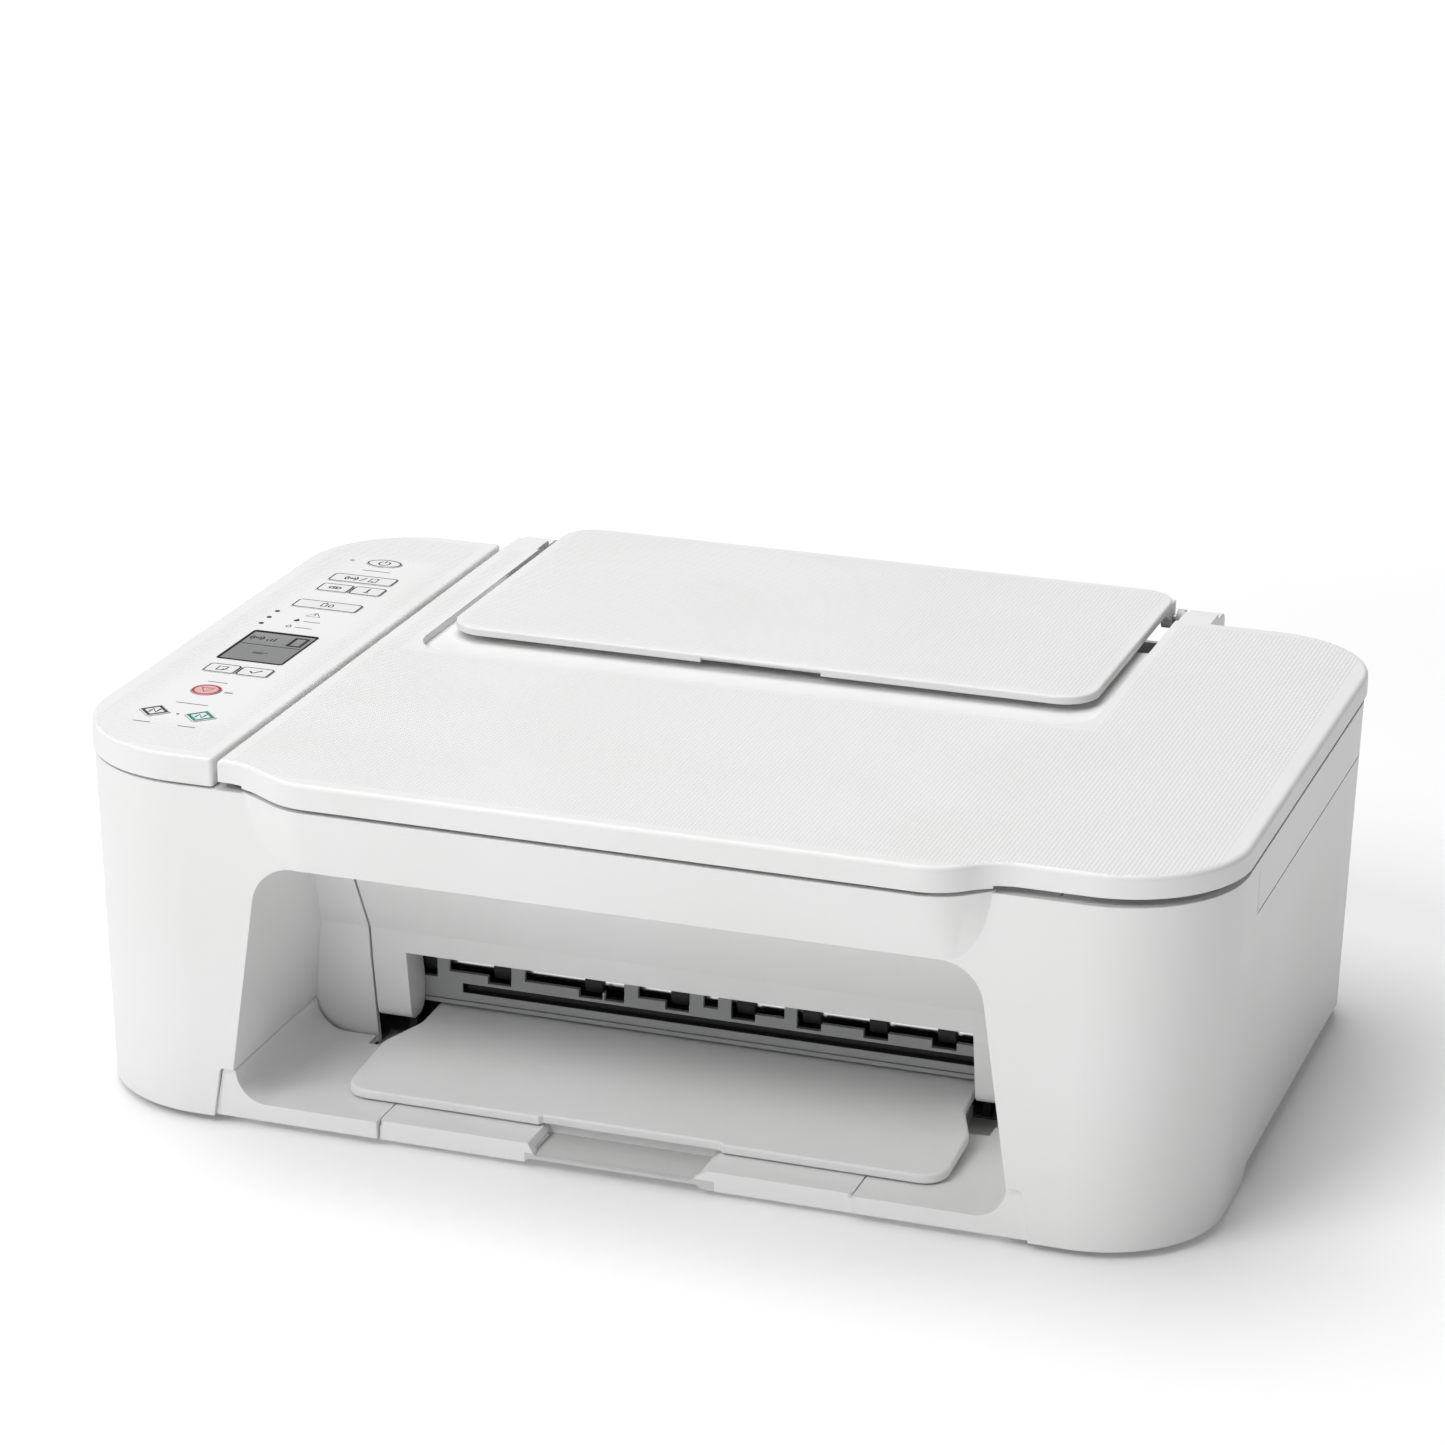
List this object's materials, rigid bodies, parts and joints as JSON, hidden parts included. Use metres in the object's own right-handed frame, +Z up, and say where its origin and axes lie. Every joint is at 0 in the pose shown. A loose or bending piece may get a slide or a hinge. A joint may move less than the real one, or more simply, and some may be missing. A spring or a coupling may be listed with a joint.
{
  "type": "inkjet printer",
  "caption": "All-in-one inkjet printer with flatbed scanner: hinged lid, rear paper support, front output bay with tray, side key panel.",
  "frame": {"origin": "centre of the footprint, on the surface that the feet stand on", "axes": "+X to the right seen from the front, the front at -Y, +Z up"},
  "size_m": [0.435, 0.316, 0.145],
  "materials": {
    "shell_white": "satin, very fine grain",
    "textured_white": "satin with a fine woven relief",
    "base_grey": "matte",
    "foot_rubber": "matte",
    "housing_grey": "matte",
    "platen_glass": "polished",
    "bright_steel": "bright",
    "inner_black": "matte",
    "pad_foam": "soft, matte",
    "display_glass": "glossy, dark frame with a grey field",
    "lamp_clear": "clear",
    "board_green": "solder mask",
    "key_white": "satin with thin dark outline and printed symbol",
    "key_red": "satin",
    "key_grey": "satin",
    "key_green": "satin",
    "guide_grey": "matte",
    "roller_rubber": "matte",
    "gear_plastic": "matte",
    "brass_gear": "turned",
    "shaft_chrome": "polished",
    "motor_steel": "zinc plated",
    "rail_steel": "zinc plated sheet",
    "cartridge_black": "matte",
    "cartridge_grey": "matte",
    "latch_grey": "matte",
    "belt_rubber": "ribbed"
  },
  "bodies": {
    "printer": {"base_pan": "base_grey", "carriage_belt": "belt_rubber", "carriage_motor": "motor_steel", "carriage_rail": "rail_steel", "control_panel": "textured_white", "exit_guide": "guide_grey", "feed_motor": "motor_steel", "front_sill": "shell_white", "hinge_pins": "bright_steel", "lcd_display": "display_glass", "main_board": "board_green", "main_casing": "shell_white", "maintenance_station": "inner_black", "panel_board": "board_green", "panel_lamps": "lamp_clear", "platen_glass": "platen_glass", "power_supply": "inner_black", "print_platen": "inner_black", "rear_tray_housing": "housing_grey", "rubber_feet": "foot_rubber", "scan_rail": "bright_steel", "scanner_frame": "shell_white", "screws": "bright_steel"},
    "lid": {"document_lid": "textured_white", "lid_pad": "pad_foam"},
    "support_flap": {"paper_support": "textured_white"},
    "bay_cover": {"output_cover": "shell_white"},
    "tray": {"output_tray": "shell_white"},
    "extension": {"tray_extension": "shell_white"},
    "scan_unit": {"scan_bar": "inner_black"},
    "carriage": {"print_carriage": "inner_black", "black_cartridge": "cartridge_black", "color_cartridge": "cartridge_grey"},
    "latch_black": {"black_latch": "latch_grey"},
    "latch_color": {"color_latch": "latch_grey"},
    "feed_line": {"feed_roller": "roller_rubber", "feed_gear": "gear_plastic"},
    "pinch": {"pinch_rollers": "gear_plastic"},
    "idler": {"idler_gear": "gear_plastic"},
    "eject_line": {"eject_shaft": "shaft_chrome", "eject_rollers": "roller_rubber", "eject_gear": "gear_plastic"},
    "pinion": {"motor_pinion": "brass_gear"},
    "pulley_drive": {"drive_pulley": "gear_plastic"},
    "pulley_tension": {"tension_pulley": "gear_plastic"},
    "pickup": {"pickup_roller": "roller_rubber"},
    "plate": {"pressure_plate": "inner_black"},
    "guide_left": {"paper_guide_left": "housing_grey"},
    "guide_right": {"paper_guide_right": "housing_grey"},
    "slot_cover": {"feed_slot_cover": "housing_grey"},
    "power_key": {"power_button": "key_white"},
    "wireless_key": {"wireless_button": "key_white"},
    "info_key": {"info_button": "key_white"},
    "direct_key": {"direct_button": "key_white"},
    "ink_key": {"ink_button": "key_white"},
    "copies_key": {"copies_button": "key_white"},
    "ok_key": {"ok_button": "key_white"},
    "stop_key": {"stop_button": "key_red"},
    "start_black_key": {"start_black_button": "key_grey"},
    "start_color_key": {"start_color_button": "key_green"}
  },
  "joints": [
    {"name": "lid_hinge", "type": "hinge", "parent": "printer", "child": "lid", "pos_m": [0, 0.15, 0.136], "axis": [-1, 0, 0], "range_deg": [0, 75]},
    {"name": "support_hinge", "type": "hinge", "parent": "lid", "child": "support_flap", "pos_m": [0, 0.15, 0.136], "axis": [-1, 0, 0], "range_deg": [0, 108]},
    {"name": "cover_hinge", "type": "hinge", "parent": "printer", "child": "bay_cover", "pos_m": [0, -0.064, 0.026], "axis": [1, 0, 0], "range_deg": [0, 62]},
    {"name": "tray_slide", "type": "slide", "parent": "printer", "child": "tray", "axis": [0, -1, 0], "range_m": [0, 0.06]},
    {"name": "extension_slide", "type": "slide", "parent": "tray", "child": "extension", "axis": [0, -1, 0], "range_m": [0, 0.05]},
    {"name": "scan_travel", "type": "slide", "parent": "printer", "child": "scan_unit", "axis": [1, 0, 0], "range_m": [0, 0.295]},
    {"name": "carriage_travel", "type": "slide", "parent": "printer", "child": "carriage", "axis": [1, 0, 0], "range_m": [-0.27, 0]},
    {"name": "black_latch_hinge", "type": "hinge", "parent": "carriage", "child": "latch_black", "pos_m": [0.1465, -0.042, 0.062], "axis": [1, 0, 0], "range_deg": [0, 30]},
    {"name": "color_latch_hinge", "type": "hinge", "parent": "carriage", "child": "latch_color", "pos_m": [0.1855, -0.042, 0.062], "axis": [1, 0, 0], "range_deg": [0, 30]},
    {"name": "feed_spin", "type": "hinge", "parent": "printer", "child": "feed_line", "pos_m": [0, 0.022, 0.034], "axis": [1, 0, 0], "continuous": true},
    {"name": "pinch_spin", "type": "hinge", "parent": "printer", "child": "pinch", "pos_m": [0, 0.022, 0.0434], "axis": [1, 0, 0], "continuous": true},
    {"name": "idler_spin", "type": "hinge", "parent": "printer", "child": "idler", "pos_m": [0, -0.01927, 0.02966], "axis": [1, 0, 0], "continuous": true},
    {"name": "eject_spin", "type": "hinge", "parent": "printer", "child": "eject_line", "pos_m": [0, -0.05, 0.0366], "axis": [1, 0, 0], "continuous": true},
    {"name": "pinion_spin", "type": "hinge", "parent": "printer", "child": "pinion", "pos_m": [0, 0.036, 0.05825], "axis": [1, 0, 0], "continuous": true},
    {"name": "drive_pulley_spin", "type": "hinge", "parent": "printer", "child": "pulley_drive", "pos_m": [0.198, 0.005, 0.07], "axis": [0, 1, 0], "continuous": true},
    {"name": "tension_pulley_spin", "type": "hinge", "parent": "printer", "child": "pulley_tension", "pos_m": [-0.188, 0.005, 0.07], "axis": [0, 1, 0], "continuous": true},
    {"name": "pickup_spin", "type": "hinge", "parent": "printer", "child": "pickup", "pos_m": [0, 0.0805, 0.0666], "axis": [1, 0, 0], "continuous": true},
    {"name": "pressure_plate_hinge", "type": "hinge", "parent": "printer", "child": "plate", "pos_m": [0, 0.14, 0.112], "axis": [-1, 0, 0], "range_deg": [0, 4.5]},
    {"name": "guide_left_slide", "type": "slide", "parent": "printer", "child": "guide_left", "axis": [1, 0, 0], "range_m": [0, 0.055]},
    {"name": "guide_right_slide", "type": "slide", "parent": "printer", "child": "guide_right", "axis": [1, 0, 0], "range_m": [-0.055, 0]},
    {"name": "slot_cover_hinge", "type": "hinge", "parent": "printer", "child": "slot_cover", "pos_m": [0, 0.098, 0.122], "axis": [1, 0, 0], "range_deg": [0, 80]},
    {"name": "power_press", "type": "slide", "parent": "printer", "child": "power_key", "axis": [0, 0, -1], "range_m": [0, 0.0008], "stiffness_N_per_m": 1500, "springref_m": -0.0003},
    {"name": "wireless_press", "type": "slide", "parent": "printer", "child": "wireless_key", "axis": [0, 0, -1], "range_m": [0, 0.0008], "stiffness_N_per_m": 1500, "springref_m": -0.0003},
    {"name": "info_press", "type": "slide", "parent": "printer", "child": "info_key", "axis": [0, 0, -1], "range_m": [0, 0.0008], "stiffness_N_per_m": 1500, "springref_m": -0.0003},
    {"name": "direct_press", "type": "slide", "parent": "printer", "child": "direct_key", "axis": [0, 0, -1], "range_m": [0, 0.0008], "stiffness_N_per_m": 1500, "springref_m": -0.0003},
    {"name": "ink_press", "type": "slide", "parent": "printer", "child": "ink_key", "axis": [0, 0, -1], "range_m": [0, 0.0008], "stiffness_N_per_m": 1500, "springref_m": -0.0003},
    {"name": "copies_press", "type": "slide", "parent": "printer", "child": "copies_key", "axis": [0, 0, -1], "range_m": [0, 0.0008], "stiffness_N_per_m": 1500, "springref_m": -0.0003},
    {"name": "ok_press", "type": "slide", "parent": "printer", "child": "ok_key", "axis": [0, 0, -1], "range_m": [0, 0.0008], "stiffness_N_per_m": 1500, "springref_m": -0.0003},
    {"name": "stop_press", "type": "slide", "parent": "printer", "child": "stop_key", "axis": [0, 0, -1], "range_m": [0, 0.0008], "stiffness_N_per_m": 1500, "springref_m": -0.0003},
    {"name": "start_black_press", "type": "slide", "parent": "printer", "child": "start_black_key", "axis": [0, 0, -1], "range_m": [0, 0.0008], "stiffness_N_per_m": 1500, "springref_m": -0.0003},
    {"name": "start_color_press", "type": "slide", "parent": "printer", "child": "start_color_key", "axis": [0, 0, -1], "range_m": [0, 0.0008], "stiffness_N_per_m": 1500, "springref_m": -0.0003}
  ],
  "couplings": [
    {"joint": "pinch_spin", "follows": "feed_spin", "ratio": -1.9355},
    {"joint": "idler_spin", "follows": "feed_spin", "ratio": -0.93023},
    {"joint": "eject_spin", "follows": "feed_spin", "ratio": 2},
    {"joint": "pinion_spin", "follows": "feed_spin", "ratio": -2.5},
    {"joint": "drive_pulley_spin", "follows": "carriage_travel", "rad_per_m": -181.82},
    {"joint": "tension_pulley_spin", "follows": "carriage_travel", "rad_per_m": -181.82},
    {"joint": "guide_right_slide", "follows": "guide_left_slide", "ratio": -1}
  ]
}
